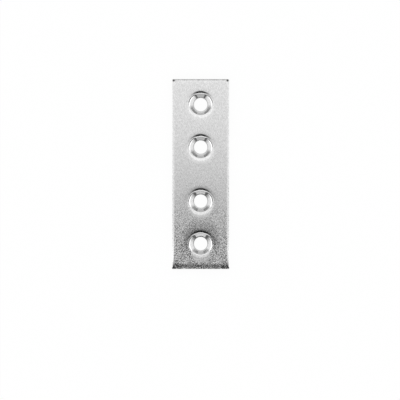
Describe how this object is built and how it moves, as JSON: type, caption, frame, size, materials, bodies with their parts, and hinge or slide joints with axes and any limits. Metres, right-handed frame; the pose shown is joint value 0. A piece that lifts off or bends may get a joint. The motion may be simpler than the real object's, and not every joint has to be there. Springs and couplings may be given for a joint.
{
  "type": "extrusion joining plate",
  "caption": "Flat steel strip with a row of countersunk screw holes, for joining framing members end to end.",
  "frame": {"origin": "the middle of the flat back face, which lies on the joined members and on a table", "axes": "+X across the strip, +Y along it towards the end that is crisp on the front, +Z out of the countersunk front face"},
  "size_m": [0.018, 0.06, 0.002],
  "materials": {
    "zinc_plated_steel": "bright zinc plating on cold rolled strip, satin with a fine grain, neutral in colour"
  },
  "bodies": {
    "root": {"joining_plate": "zinc_plated_steel"}
  },
  "joints": []
}
